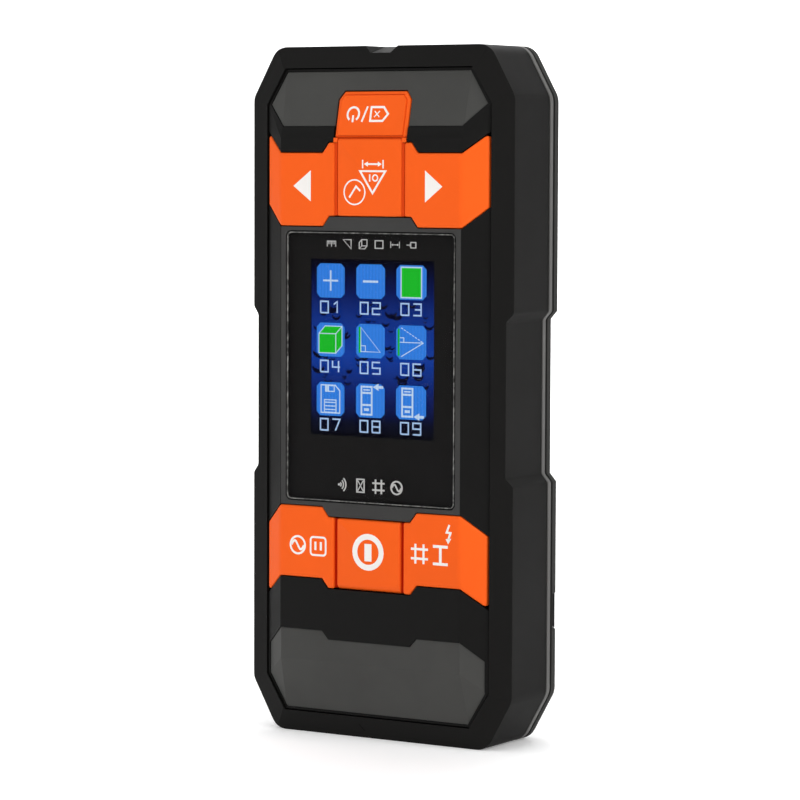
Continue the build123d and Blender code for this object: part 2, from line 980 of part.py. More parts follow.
def socket_box(shrink, outer):
    """The charging socket's shell, smaller by shrink on every side."""
    return block(
        socket_outer - socket_long + shrink,
        outer,
        port_front + slip + shrink,
        port_back - slip - shrink,
        port_z - port_tall / 2 + inlay_gap + shrink,
        port_z + port_tall / 2 - inlay_gap - shrink,
    )


def usb_socket():
    return socket_box(0, socket_outer) - socket_box(socket_wall, socket_outer + 1)


def usb_tongue():
    middle = (port_front + port_back) / 2
    return block(
        socket_outer - socket_long + socket_wall,
        socket_outer - tongue_sink,
        middle - tongue_thick / 2,
        middle + tongue_thick / 2,
        port_z - tongue_half,
        port_z + tongue_half,
    )


# ================================================================ sensors
def sensor_board():
    back = sensor_front + sensor_thick
    return block(-sensor_half, sensor_half, sensor_front, back, sensor_low, sensor_high)


def former_span():
    return sensor_front + sensor_thick, back_face - cover_wall - 0.1


def coil_former():
    front, back = former_span()
    core = rod(0, coil_z, coil_inner - slip, front, back)
    spool = core + rod(0, coil_z, former_rim, front, front + former_flange)
    spool += rod(0, coil_z, former_rim, back - former_flange, back)
    return spool - rod(0, coil_z, coil_inner - 2.5, front, back)


def detector_coil():
    front, back = former_span()
    front, back = front + former_flange, back - former_flange
    return rod(0, coil_z, coil_outer, front, back) - rod(0, coil_z, coil_inner, front, back)


# ================================================================ laser module
def laser_window():
    front, back = optic_depth - laser_tall / 2, optic_depth + laser_tall / 2
    return block(
        -laser_half + slip,
        laser_half - slip,
        front + slip,
        back - slip,
        laser_recess,
        laser_recess + laser_pane,
    )


def laser_chassis():
    body = block(-chassis_half, chassis_half, ledge_back, chassis_back, chassis_low, chassis_high)
    for side in (-1, 1):
        x0, x1 = sorted((side * chassis_half, side * (ear_x + ear_reach)))
        body += block(x0, x1, ledge_back, ledge_back + ear_thick, chassis_low, ear_z + ear_reach)
        body -= rod(side * ear_x, ear_z, board_screw_r + slip, ledge_back, ledge_back + ear_thick)
    body -= upright(barrel_x, optic_depth, barrel_r + touch, chassis_low, chassis_low + barrel_long)
    body -= upright(barrel_x, optic_depth, beam_r, chassis_low, chassis_high)
    lens_top = chassis_low + lens_thick
    body -= upright(receiver_x, optic_depth, receiver_r + touch, chassis_low, lens_top)
    cone_long = chassis_high - lens_top
    cone = Pos(receiver_x, depth_y(optic_depth), lens_top + cone_long / 2)
    return body - cone * Cone(receiver_r - cone_step, cone_tip_r, cone_long)


def laser_barrel():
    high = chassis_low + barrel_long
    tube = upright(barrel_x, optic_depth, barrel_r, chassis_low, high)
    return tube - upright(barrel_x, optic_depth, beam_r, chassis_low, high - barrel_floor)


def laser_lens():
    low = chassis_low + 1
    return upright(barrel_x, optic_depth, beam_r - touch, low, low + laser_lens_thick)


def receiver_lens():
    return upright(receiver_x, optic_depth, receiver_r, chassis_low, chassis_low + lens_thick)


def receiver_board():
    half = receiver_board_half
    front, back = ledge_back + receiver_board_inset, chassis_back - 0.5
    return block(-half, half, front, back, chassis_high, chassis_high + receiver_board_thick)


def laser_screws():
    screws = []
    for side in (-1, 1):
        x = side * ear_x
        top = ledge_back + ear_thick
        shank = rod(x, ear_z, board_screw_r, ledge_front + 0.4, top)
        screws.append(shank + rod(x, ear_z, board_screw_head_r, top, top + board_screw_head))
    return Compound(screws)


# ================================================================ outside fittings
def case_screws():
    """Cross-head screws that hold the rear cover to the front housing."""
    screws = []
    face = back_face - case_head_sink
    for z in case_screw_z:
        for side in (-1, 1):
            x = side * case_screw_x
            head = rod(x, z, case_head_r, face - case_head_thick, face)
            head = fillet(head.edges().group_by(Axis.Y)[-1], 0.5)
            for dx, dz in ((cross_half, cross_wide / 2), (cross_wide / 2, cross_half)):
                head -= block(x - dx, x + dx, face - cross_deep, face, z - dz, z + dz)
            screws.append(head + rod(x, z, case_screw_r, ledge_back + 1, face - case_head_thick))
    return Compound(screws)


def glide_pads():
    return Compound([pad_shape(z, back_face - pad_thick + pad_proud, back_face + pad_proud) for z in pad_z])


def rating_plate():
    return plate_shape(back_face - plate_thick, back_face - 0.1)


# ================================================================ writing the pieces
pieces = {
    "front_housing": front_housing,
    "seam_band": seam_band,
    "rear_cover": rear_cover,
    "fascia": fascia,
    "upper_trim": upper_trim,
    "lower_trim": lower_trim,
    "screen_surround": screen_surround,
    "display_window": display_window,
    "window_gasket": window_gasket,
    "lcd_panel": lcd_panel,
    "lcd_backlight": lcd_backlight,
    "lcd_flex": lcd_flex,
    "upper_key_mat": upper_key_mat,
    "lower_key_mat": lower_key_mat,
    "main_board": main_board,
    "switch_bodies": switch_bodies,
    "board_chips": board_chips,
    "board_screws": board_screws,
    "battery_pad": battery_pad,
    "battery_cell": battery_cell,
    "battery_plug": battery_plug,
    "battery_leads": battery_leads,
    "buzzer": buzzer,
    "charge_board": charge_board,
    "usb_socket": usb_socket,
    "usb_tongue": usb_tongue,
    "sensor_board": sensor_board,
    "coil_former": coil_former,
    "detector_coil": detector_coil,
    "laser_window": laser_window,
    "laser_chassis": laser_chassis,
    "laser_barrel": laser_barrel,
    "laser_lens": laser_lens,
    "receiver_lens": receiver_lens,
    "receiver_board": receiver_board,
    "laser_screws": laser_screws,
    "case_screws": case_screws,
    "glide_pads": glide_pads,
    "rating_plate": rating_plate,
    "left_key_cap": left_key_cap,
    "right_key_cap": right_key_cap,
    "measure_key_cap": measure_key_cap,
    "clear_key_cap": clear_key_cap,
    "detect_key_cap": detect_key_cap,
    "metal_key_cap": metal_key_cap,
    "power_key_cap": power_key_cap,
}

os.makedirs("parts", exist_ok=True)
for node, make in pieces.items():
    export_step(make(), f"parts/{node}.step")
for key in key_places:
    export_step(key_plunger(key), f"parts/{key}_key_plunger.step")
    export_step(switch_stem(key), f"parts/{key}_switch_stem.step")
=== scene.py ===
"""Looks of a handheld wall scanner with a laser distance meter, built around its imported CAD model."""

import json
import math

import bmesh
import bpy
from mathutils import Matrix, Vector

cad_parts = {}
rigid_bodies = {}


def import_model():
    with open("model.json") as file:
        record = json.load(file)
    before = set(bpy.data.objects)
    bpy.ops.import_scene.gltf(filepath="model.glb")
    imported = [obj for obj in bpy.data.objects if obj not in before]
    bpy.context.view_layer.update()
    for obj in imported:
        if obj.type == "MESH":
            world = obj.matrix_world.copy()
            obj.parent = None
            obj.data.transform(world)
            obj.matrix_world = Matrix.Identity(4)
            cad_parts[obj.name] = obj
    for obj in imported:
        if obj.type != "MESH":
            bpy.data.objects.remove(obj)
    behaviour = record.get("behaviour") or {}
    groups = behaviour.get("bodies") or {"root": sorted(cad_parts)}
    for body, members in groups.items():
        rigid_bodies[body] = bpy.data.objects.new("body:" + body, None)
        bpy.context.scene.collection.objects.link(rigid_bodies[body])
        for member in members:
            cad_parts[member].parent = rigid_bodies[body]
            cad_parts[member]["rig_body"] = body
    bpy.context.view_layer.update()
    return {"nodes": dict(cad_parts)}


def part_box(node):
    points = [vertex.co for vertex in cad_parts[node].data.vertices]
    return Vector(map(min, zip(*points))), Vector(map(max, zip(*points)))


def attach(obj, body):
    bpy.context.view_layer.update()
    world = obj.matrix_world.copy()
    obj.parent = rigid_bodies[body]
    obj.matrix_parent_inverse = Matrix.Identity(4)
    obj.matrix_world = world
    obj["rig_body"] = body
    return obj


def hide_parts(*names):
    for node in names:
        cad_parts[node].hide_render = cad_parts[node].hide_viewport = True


MM = 0.001
CAP_FRONT = -0.3          # depth of the key caps' CAD front, seen from the faceted face
CAP_SINK = 0.03           # the finished caps lie this much lower, which leaves room for prints
PRINT_FRONT = 0.012       # a print's front and back lie this far behind the CAD front
PRINT_BACK = 0.08
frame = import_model()
nodes = frame["nodes"]


# ================================================================ camera, floor and light
def add_camera():
    """Stands at the right of the front face, a little above it, and looks at the body's middle."""
    azimuth, elevation, roll = (math.radians(a) for a in (32.03, 4.08, 0.20))
    distance, lens, sensor = 766.8 * MM, 153.54, 36.0
    back = Vector(
        (
            math.sin(azimuth) * math.cos(elevation),
            -math.cos(azimuth) * math.cos(elevation),
            math.sin(elevation),
        )
    )
    level = Vector((math.cos(azimuth), math.sin(azimuth), 0))
    upward = back.cross(level)
    right = math.cos(roll) * level + math.sin(roll) * upward
    up = back.cross(right)
    aim = Vector((0, FACE_Y + 10 * MM, 79.9 * MM))
    place = aim + right * 1.57 * MM - up * 3.65 * MM + back * distance
    camera = bpy.data.objects.new("camera", bpy.data.cameras.new("camera"))
    camera.data.lens = lens
    camera.data.sensor_width = sensor
    camera.data.clip_start = 0.05
    camera.data.clip_end = 20
    turn = Matrix((right, up, back)).transposed()
    camera.matrix_world = Matrix.Translation(place) @ turn.to_4x4()
    bpy.context.scene.collection.objects.link(camera)
    bpy.context.scene.camera = camera


def add_floor():
    """A pale floor that rises behind the object in a smooth sweep."""
    bm = bmesh.new()
    wide, front, back, radius, high = 2.5, -2.5, 1.2, 0.8, 2.5
    steps = 16
    line = [(front, 0.0), (back, 0.0)]
    for i in range(1, steps + 1):
        angle = math.pi / 2 * i / steps
        line.append((back + radius * math.sin(angle), radius * (1 - math.cos(angle))))
    line.append((back + radius, high))
    rows = [[bm.verts.new((x, y, z)) for x in (-wide, wide)] for y, z in line]
    for low, top in zip(rows, rows[1:]):
        bm.faces.new((low[0], low[1], top[1], top[0]))
    mesh = bpy.data.meshes.new("floor")
    bm.to_mesh(mesh)
    bm.free()
    mesh.shade_smooth()
    floor = bpy.data.objects.new("floor", mesh)
    bpy.context.scene.collection.objects.link(floor)
    floor.data.materials.append(floor_material())


def add_area(name, place, target, size, watts):
    light = bpy.data.lights.new(name, "AREA")
    light.shape = "RECTANGLE"
    light.size, light.size_y = size
    light.energy = watts
    lamp = bpy.data.objects.new(name, light)
    lamp.location = place
    lamp.rotation_mode = "QUATERNION"
    lamp.rotation_quaternion = (Vector(place) - Vector(target)).to_track_quat("Z", "Y")
    bpy.context.scene.collection.objects.link(lamp)


def add_lights():
    centre = (0, 0, 0.08)
    add_area("softbox_left", (-1.2, -0.5, 0.7), centre, (0.9, 1.2), 4.0)
    add_area("softbox_front", (0.1, -1.3, 0.9), centre, (1.2, 0.8), 4.5)
    add_area("softbox_right", (1.3, -0.1, 0.6), centre, (0.8, 1.2), 10.6)
    add_area("softbox_top", (0.2, -0.4, 1.5), centre, (1.2, 0.9), 5.5)
    add_area("backdrop_light", (-0.7, 0.9, 1.5), (-1.0, 1.5, 0.1), (1.8, 0.6), 32)
    world = bpy.data.worlds.new("studio")
    bpy.context.scene.world = world
    world.use_nodes = True
    background = world.node_tree.nodes["Background"]
    background.inputs["Color"].default_value = (1, 1, 1, 1)
    background.inputs["Strength"].default_value = 0.31


# ================================================================ materials
def new_material(name):
    """A material with its nodes, its links and its main shader."""
    made = bpy.data.materials.new(name)
    made.use_nodes = True
    tree = made.node_tree
    shader = tree.nodes["Principled BSDF"]
    return made, tree, shader


def noise(tree, scale, detail=3.0, roughness=0.55):
    """Noise in the piece's own coordinates; scale is in cells per metre."""
    place = tree.nodes.new("ShaderNodeTexCoord")
    made = tree.nodes.new("ShaderNodeTexNoise")
    made.inputs["Scale"].default_value = scale
    made.inputs["Detail"].default_value = detail
    made.inputs["Roughness"].default_value = roughness
    tree.links.new(place.outputs["Object"], made.inputs["Vector"])
    return made


def remap(tree, value, low, high):
    """Spreads a noise value over a range."""
    made = tree.nodes.new("ShaderNodeMapRange")
    made.inputs["From Min"].default_value = 0.3
    made.inputs["From Max"].default_value = 0.7
    made.inputs["To Min"].default_value = low
    made.inputs["To Max"].default_value = high
    tree.links.new(value, made.inputs["Value"])
    return made.outputs["Result"]


def scaled(color, factor):
    return tuple(min(1.0, c * factor) for c in color[:3]) + (1.0,)


def moulded(name, color, rough, grain=4500.0, grain_height=0.006, mottle=0.10, gloss=0.1):
    """Moulded plastic: fine spark-eroded grain, slightly uneven gloss and colour."""
    spread = 0.06
    made, tree, shader = new_material(name)
    fine = noise(tree, grain)
    broad = noise(tree, 45.0, 4.0)
    blend = tree.nodes.new("ShaderNodeMix")
    blend.data_type = "RGBA"
    blend.inputs["A"].default_value = scaled(color, 1 - mottle)
    blend.inputs["B"].default_value = scaled(color, 1 + mottle)
    tree.links.new(remap(tree, broad.outputs["Fac"], 0.0, 1.0), blend.inputs["Factor"])
    tree.links.new(blend.outputs["Result"], shader.inputs["Base Color"])
    uneven = remap(tree, broad.outputs["Fac"], rough - spread, rough + spread)
    tree.links.new(uneven, shader.inputs["Roughness"])
    bump = tree.nodes.new("ShaderNodeBump")
    bump.inputs["Strength"].default_value = 0.35
    bump.inputs["Distance"].default_value = grain_height * MM
    tree.links.new(fine.outputs["Fac"], bump.inputs["Height"])
    tree.links.new(bump.outputs["Normal"], shader.inputs["Normal"])
    shader.inputs["Specular IOR Level"].default_value = gloss
    return made


def metal(name, color, rough, grain=1400.0):
    """Turned or stamped metal with fine scratches."""
    made, tree, shader = new_material(name)
    fine = noise(tree, grain, 2.0)
    shader.inputs["Base Color"].default_value = scaled(color, 1)
    shader.inputs["Metallic"].default_value = 1.0
    tree.links.new(remap(tree, fine.outputs["Fac"], rough * 0.7, rough * 1.3), shader.inputs["Roughness"])
    return made


def glass(name, color, rough, alpha, gloss=0.3):
    """A clear or tinted pane with faint smears in its gloss."""
    made, tree, shader = new_material(name)
    broad = noise(tree, 60.0, 3.0)
    shader.inputs["Base Color"].default_value = scaled(color, 1)
    shader.inputs["Alpha"].default_value = alpha
    shader.inputs["Specular IOR Level"].default_value = gloss
    tree.links.new(remap(tree, broad.outputs["Fac"], rough * 0.6, rough * 1.4), shader.inputs["Roughness"])
    return made


def lit(name, color):
    """Part of the lit display: colour with faint upright stripes."""
    made, tree, shader = new_material(name)
    place = tree.nodes.new("ShaderNodeTexCoord")
    columns = tree.nodes.new("ShaderNodeTexWave")
    columns.inputs["Scale"].default_value = 370.0
    columns.inputs["Distortion"].default_value = 0.0
    tree.links.new(place.outputs["Object"], columns.inputs["Vector"])
    blend = tree.nodes.new("ShaderNodeMix")
    blend.data_type = "RGBA"
    blend.inputs["A"].default_value = scaled(color, 0.92)
    blend.inputs["B"].default_value = scaled(color, 1.08)
    tree.links.new(columns.outputs["Fac"], blend.inputs["Factor"])
    tree.links.new(blend.outputs["Result"], shader.inputs["Emission Color"])
    shader.inputs["Emission Strength"].default_value = 1.0
    shader.inputs["Base Color"].default_value = (0.004, 0.004, 0.006, 1)
    shader.inputs["Roughness"].default_value = 0.4
    shader.inputs["Specular IOR Level"].default_value = 0.0
    return made


def lit_background(name, low, high):
    """The display's wallpaper: blue in the middle, fading to black at its top and bottom."""
    made, tree, shader = new_material(name)
    place = tree.nodes.new("ShaderNodeTexCoord")
    axes = tree.nodes.new("ShaderNodeSeparateXYZ")
    tree.links.new(place.outputs["Object"], axes.inputs["Vector"])
    along = tree.nodes.new("ShaderNodeMapRange")
    along.inputs["From Min"].default_value = low * MM
    along.inputs["From Max"].default_value = high * MM
    tree.links.new(axes.outputs["Z"], along.inputs["Value"])
    ramp = tree.nodes.new("ShaderNodeValToRGB")
    stops = (
        (0.0, (0.0006, 0.0006, 0.002)),
        (0.08, (0.001, 0.002, 0.014)),
        (0.24, (0.0030, 0.012, 0.125)),
        (0.46, (0.0060, 0.047, 0.36)),
        (0.66, (0.0045, 0.030, 0.25)),
        (0.82, (0.0018, 0.008, 0.090)),
        (0.94, (0.0006, 0.0016, 0.020)),
        (1.0, (0.0006, 0.0006, 0.0025)),
    )
    while len(ramp.color_ramp.elements) < len(stops):
        ramp.color_ramp.elements.new(0.5)
    for element, (at, color) in zip(ramp.color_ramp.elements, stops):
        element.position = at
        element.color = scaled(color, 1)
    tree.links.new(along.outputs["Result"], ramp.inputs["Fac"])
    tree.links.new(ramp.outputs["Color"], shader.inputs["Emission Color"])
    shader.inputs["Emission Strength"].default_value = 1.0
    shader.inputs["Base Color"].default_value = (0.002, 0.002, 0.003, 1)
    shader.inputs["Roughness"].default_value = 0.4
    shader.inputs["Specular IOR Level"].default_value = 0.0
    return made


def patchy_bright_edge(name):
    """The bonded edge of the window: a line drawn bright in places and dark in others."""
    made, tree, shader = new_material(name)
    broad = noise(tree, 520.0, 5.0, 0.8)
    blend = tree.nodes.new("ShaderNodeMix")
    blend.data_type = "RGBA"
    blend.inputs["A"].default_value = (0.018, 0.018, 0.017, 1)
    blend.inputs["B"].default_value = (0.36, 0.36, 0.34, 1)
    tree.links.new(remap(tree, broad.outputs["Fac"], -0.5, 1.1), blend.inputs["Factor"])
    tree.links.new(blend.outputs["Result"], shader.inputs["Base Color"])
    shader.inputs["Roughness"].default_value = 0.35
    return made


def floor_material():
    made, tree, shader = new_material("floor_paper")
    broad = noise(tree, 3.0, 2.0)
    shader.inputs["Base Color"].default_value = (0.95, 0.95, 0.95, 1)
    tree.links.new(remap(tree, broad.outputs["Fac"], 0.88, 0.94), shader.inputs["Roughness"])
    shader.inputs["Emission Color"].default_value = (1, 1, 1, 1)
    shader.inputs["Emission Strength"].default_value = 0.16
    return made


# ================================================================ pieces
def add_piece(name, mesh, body, made_of):
    piece = bpy.data.objects.new(name, mesh)
    bpy.context.scene.collection.objects.link(piece)
    piece.data.materials.append(made_of)
    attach(piece, body)
    return piece


def finished(node, made_of, edge):
    """A copy of a CAD node with whole flat faces and rounded edges, which stands for the node."""
    same_point, flat, sharp = 1e-6, math.radians(0.4), math.radians(28.0)
    bm = bmesh.new()
    bm.from_mesh(nodes[node].data)
    bmesh.ops.remove_doubles(bm, verts=bm.verts, dist=same_point)
    bmesh.ops.dissolve_limit(bm, angle_limit=flat, verts=bm.verts, edges=bm.edges)
    for face in bm.faces:
        face.smooth = True
    mesh = bpy.data.meshes.new(node + "_finish")
    bm.to_mesh(mesh)
    bm.free()
    mesh.set_sharp_from_angle(angle=sharp)
    piece = add_piece(node + "_finish", mesh, nodes[node]["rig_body"], made_of)
    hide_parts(node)
    bevel = piece.modifiers.new("rounded edges", "BEVEL")
    bevel.width = edge * MM
    bevel.segments = 3
    bevel.limit_method = "ANGLE"
    bevel.angle_limit = sharp
    bevel.harden_normals = True


def paint(made_of, *names):
    """Gives CAD nodes that keep their shape a material."""
    for name in names:
        mesh = nodes[name].data
        mesh.materials.clear()
        mesh.materials.append(made_of)


# ================================================================ flat shapes, in millimetres
# A shape is (outer loop, hole or None); loops are lists of (x, z) seen from the front.
def around(x, z, radius, start=0.0, stop=360.0, steps=28):
    """Points of an arc, or of a full circle."""
    whole = stop - start >= 360
    count = steps if whole else steps + 1
    angles = [math.radians(start + (stop - start) * i / steps) for i in range(count)]
    return [(x + radius * math.cos(a), z + radius * math.sin(a)) for a in angles]


def disc_ring(x, z, outer, inner):
    return [(around(x, z, outer), around(x, z, inner))]


def stroke(points, width, closed=False):
    """A line of even width with mitred corners."""
    count = len(points)
    left, right = [], []
    for i, (x, z) in enumerate(points):
        normals = []
        for j, k in ((i - 1, i), (i, i + 1)):
            if closed or (j >= 0 and k < count):
                (x0, z0), (x1, z1) = points[j % count], points[k % count]
                length = math.hypot(x1 - x0, z1 - z0)
                normals.append(((z0 - z1) / length, (x1 - x0) / length))
        nx = sum(n[0] for n in normals) / len(normals)
        nz = sum(n[1] for n in normals) / len(normals)
        reach = width / 2 / max(nx * nx + nz * nz, 0.3)
        left.append((x + nx * reach, z + nz * reach))
        right.append((x - nx * reach, z - nz * reach))
    if closed:
        return [(left, right)]
    return [(left + right[::-1], None)]


def bar(x0, x1, z0, z1):
    return [([(x0, z0), (x1, z0), (x1, z1), (x0, z1)], None)]


def filled(*points):
    return [(list(points), None)]


def frame_of(x0, x1, z0, z1, width):
    return stroke([(x0, z0), (x1, z0), (x1, z1), (x0, z1)], width, True)


def arrow(x0, z0, x1, z1, width, head):
    """A straight line that ends in a filled arrowhead."""
    length = math.hypot(x1 - x0, z1 - z0)
    ux, uz = (x1 - x0) / length, (z1 - z0) / length
    nx, nz = x1 - ux * head, z1 - uz * head
    wide = head * 0.55
    tip = filled((x1, z1), (nx - uz * wide, nz + ux * wide), (nx + uz * wide, nz - ux * wide))
    return stroke([(x0, z0), (nx, nz)], width) + tip


def plus_of(x, z, across, up, width, turn=0.0):
    """A plus sign in one outline, turned by an angle in degrees."""
    h, c, d = width / 2, math.cos(math.radians(turn)), math.sin(math.radians(turn))
    arms = [(h, h), (h, up), (-h, up), (-h, h), (-across, h), (-across, -h)]
    arms += [(-h, -h), (-h, -up), (h, -up), (h, -h), (across, -h), (across, h)]
    return filled(*((x + u * c - v * d, z + u * d + v * c) for u, v in arms))


def span_sign(tall):
    """A two-headed arrow between two upright bars of a given half height."""
    ends = bar(-1, -0.88, -tall, tall) + bar(0.88, 1, -tall, tall)
    return ends + arrow(0, 0, 0.82, 0, 0.14, 0.36) + arrow(0, 0, -0.82, 0, 0.14, 0.36)


def placed(shapes, x, z, half, turned=False):
    """A pictogram drawn in a square of half width 1, put at a place in its size."""
    sign = -1 if turned else 1

    def move(loop):
        return [(x + sign * half * u, z + sign * half * v) for u, v in loop]

    return [(move(outer), move(hole) if hole else None) for outer, hole in shapes]


def rounded(points, radius, steps=4):
    """A convex or concave outline with every corner rounded by the same number of points."""
    made = []
    count = len(points)
    for i, (x, z) in enumerate(points):
        arms = []
        for j in (i - 1, (i + 1) % count):
            dx, dz = points[j][0] - x, points[j][1] - z
            length = math.hypot(dx, dz)
            arms.append((dx / length, dz / length))
        (ax, az), (bx, bz) = arms
        half_angle = math.acos(max(-1, min(1, ax * bx + az * bz))) / 2
        back = radius / math.tan(half_angle)
        mid = (ax + bx, az + bz)
        away = radius / math.sin(half_angle) / math.hypot(*mid)
        centre = (x + mid[0] * away, z + mid[1] * away)
        start = (x + ax * back - centre[0], z + az * back - centre[1])
        stop = (x + bx * back - centre[0], z + bz * back - centre[1])
        turn = math.atan2(start[0] * stop[1] - start[1] * stop[0], start[0] * stop[0] + start[1] * stop[1])
        for k in range(steps + 1):
            c, d = math.cos(turn * k / steps), math.sin(turn * k / steps)
            made.append((centre[0] + start[0] * c - start[1] * d, centre[1] + start[0] * d + start[1] * c))
    return made


def inset(points, amounts):
    """An outline, listed anticlockwise, whose sides move inwards, each by its own amount."""
    count = len(points)
    lines = []
    for i in range(count):
        (x0, z0), (x1, z1) = points[i], points[(i + 1) % count]
        length = math.hypot(x1 - x0, z1 - z0)
        nx, nz = (z0 - z1) / length, (x1 - x0) / length
        lines.append((nx, nz, nx * x0 + nz * z0 + amounts[i]))
    moved = []
    for i in range(count):
        a0, b0, c0 = lines[i - 1]
        a1, b1, c1 = lines[i]
        det = a0 * b1 - a1 * b0
        moved.append(((c0 * b1 - c1 * b0) / det, (a0 * c1 - a1 * c0) / det))
    return moved


# ================================================================ solids from flat shapes
# Depths run backwards from the flat middle of the faceted face, in millimetres.
WINDOW_SINK = 0.12                  # the window lies this far behind that face
FACE_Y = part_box("display_window")[0].y - WINDOW_SINK * MM
EDGE_DROP = 3.35                    # depth of the face along its outer edge
CREASE_TOP = 134.9                  # above this height the face slopes back
SLOPE = EDGE_DROP / 15.4
FLAT_HALF = 23.7                    # beyond this half width it slopes back as well
SIDE_SLOPE = EDGE_DROP / 5.5
RIM_DEPTH = 4.84                    # depth of the bottom rim at the floor
RIM_SLOPE = 0.38                    # and how much of it is lost for each millimetre of height


def on_face(depth):
    """Depth of a surface that lies this far behind the faceted face."""
    return lambda x, z: depth + max(0.0, (z - CREASE_TOP) * SLOPE, (abs(x) - FLAT_HALF) * SIDE_SLOPE)


def level(depth):
    return lambda x, z: depth


def on_bottom_rim(depth):
    return lambda x, z: depth + RIM_DEPTH - RIM_SLOPE * z


def ring_of(bm, loop, depth):
    return [bm.verts.new((x * MM, FACE_Y + depth(x, z) * MM, z * MM)) for x, z in loop]


def join_rings(bm, a, b):
    count = len(a)
    for i in range(count):
        j = (i + 1) % count
        bm.faces.new((a[i], a[j], b[j], b[i]))


def add_solid(bm, shape, front, back):
    """A closed solid between two depths, with or without a hole through it."""
    outer, hole = shape
    near, far = ring_of(bm, outer, front), ring_of(bm, outer, back)
    join_rings(bm, near, far)
    if hole:
        near_hole, far_hole = ring_of(bm, hole, front), ring_of(bm, hole, back)
        join_rings(bm, near_hole, far_hole)
        join_rings(bm, near, near_hole)
        join_rings(bm, far, far_hole)
    else:
        bm.faces.new(near)
        bm.faces.new(far[::-1])


def mesh_of(bm, name, smooth=0.0):
    bmesh.ops.recalc_face_normals(bm, faces=bm.faces)
    mesh = bpy.data.meshes.new(name)
    bm.to_mesh(mesh)
    bm.free()
    if smooth:
        mesh.shade_smooth()
        mesh.set_sharp_from_angle(angle=math.radians(smooth))
    return mesh


def layer(name, shapes, body, made_of, front, back):
    """Flat shapes as one thin piece: a print, a mask or a part of the lit picture."""
    bm = bmesh.new()
    for shape in shapes:
        add_solid(bm, shape, front, back)
    add_piece(name, mesh_of(bm, name), body, made_of)


def fold_sides(bm):
    """Folds the front of a flat cap back along the face's side creases, with a soft bend."""
    blend, cuts, reach = 0.8, 3, 2.0
    for side in (-1, 1):
        for i in range(-cuts, cuts + 1):
            x = side * (FLAT_HALF + blend * i / cuts)
            everything = bm.verts[:] + bm.edges[:] + bm.faces[:]
            bmesh.ops.bisect_plane(bm, geom=everything, plane_co=(x * MM, 0, 0), plane_no=(1, 0, 0))
    for vert in bm.verts:
        if vert.co.y - FACE_Y < reach * MM:
            beyond = abs(vert.co.x) / MM - FLAT_HALF
            if beyond > blend:
                vert.co.y += SIDE_SLOPE * beyond * MM
            elif beyond > -blend:
                vert.co.y += SIDE_SLOPE * (beyond + blend) ** 2 / (4 * blend) * MM


def soft_cap(node, points, widths, profile, face, flanges, smooth=40.0, fold=False):
    """A key cap with its own rolled edges: a shell that stands for the CAD cap.

    widths gives the roll's width along each side, and profile its (part of the width, depth).
    """
    bm = bmesh.new()
    key_back, flange_front, skin, wall = 4.0, 2.45, 1.2, 1.2
    corner, inner_corner, tightest = 0.5, 0.3, 0.15
    rings = [ring_of(bm, rounded(points, corner), level(key_back))]
    for inward, drop in profile:
        loop = rounded(inset(points, [w * inward for w in widths]), max(tightest, corner - 0.5 * inward))
        rings.append(ring_of(bm, loop, lambda x, z, d=drop: face(x, z) + d))
    for a, b in zip(rings, rings[1:]):
        join_rings(bm, a, b)
    bm.faces.new(rings[-1])
    inner = rounded(inset(points, [wall] * len(points)), inner_corner)
    rim, top = ring_of(bm, inner, level(key_back)), ring_of(bm, inner, lambda x, z: face(x, z) + skin)
    join_rings(bm, rings[0], rim)
    join_rings(bm, rim, top)
    bm.faces.new(top)
    if fold:
        fold_sides(bm)
    for flange in flanges:
        add_solid(bm, bar(*flange)[0], level(flange_front), level(key_back))
    mesh = mesh_of(bm, node + "_finish", smooth)
    piece = add_piece(node + "_finish", mesh, nodes[node]["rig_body"], key_orange)
    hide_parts(node)


def channel(name, x, low, high, edge, middle, made_of):
    """A strip with a hollow front that fills the groove between two keys."""
    bm = bmesh.new()
    half, back, steps = 0.33, 1.6, 8
    across = [-half + 2 * half * i / steps for i in range(steps + 1)]
    section = [(x + u, edge + (middle - edge) * (1 - (u / half) ** 2)) for u in across]
    section += [(x + half, back), (x - half, back)]
    ends = []
    for z in (low, high):
        ends.append([bm.verts.new((u * MM, FACE_Y + d * MM, z * MM)) for u, d in section])
    join_rings(bm, *ends)
    bm.faces.new(ends[0])
    bm.faces.new(ends[1][::-1])
    add_piece(name, mesh_of(bm, name, 40.0), "root", made_of)


# ================================================================ the object
housing_black = moulded("soft_touch_black", (0.0085, 0.0082, 0.0078), 0.6, gloss=0.07)
fascia_black = moulded("fascia_black", (0.0055, 0.0053, 0.0050), 0.5)
shell_grey = moulded("shell_grey", (0.036, 0.0353, 0.0342), 0.65, gloss=0.03)
band_grey = moulded("band_grey", (0.105, 0.103, 0.100), 0.5)
mask_black = moulded("mask_black", (0.0105, 0.0100, 0.0100), 0.5, grain_height=0.0, mottle=0.02, gloss=0.02)
trim_grey = moulded("trim_grey", (0.056, 0.056, 0.053), 0.45)
# The trims' grey darkened as painted shade, for the surround around the window.
trim_grey_shaded = moulded("trim_grey_shaded", (0.045, 0.0445, 0.0435), 0.45)
key_orange = moulded("key_orange", (0.88, 0.110, 0.0088), 0.5, mottle=0.03)
mat_orange = moulded("mat_orange", (0.70, 0.062, 0.0036), 0.6, mottle=0.05)
# The mat's orange darkened as painted shade, for the grooves beside the lower keys.
groove_shade_orange = moulded("groove_shade_orange", (0.60, 0.022, 0.001), 0.6, mottle=0.05)
ink_white = moulded("ink_white", (0.86, 0.83, 0.80), 0.5, mottle=0.02)
ink_grey = moulded("ink_grey", (0.48, 0.48, 0.47), 0.5, mottle=0.04)
rubber_black = moulded("rubber_black", (0.012, 0.012, 0.012), 0.7)
window_glass = glass("window_glass", (0.008, 0.008, 0.008), 0.22, 0.09, 0.15)
lcd_glass = moulded("lcd_glass", (0.004, 0.005, 0.007), 0.25)
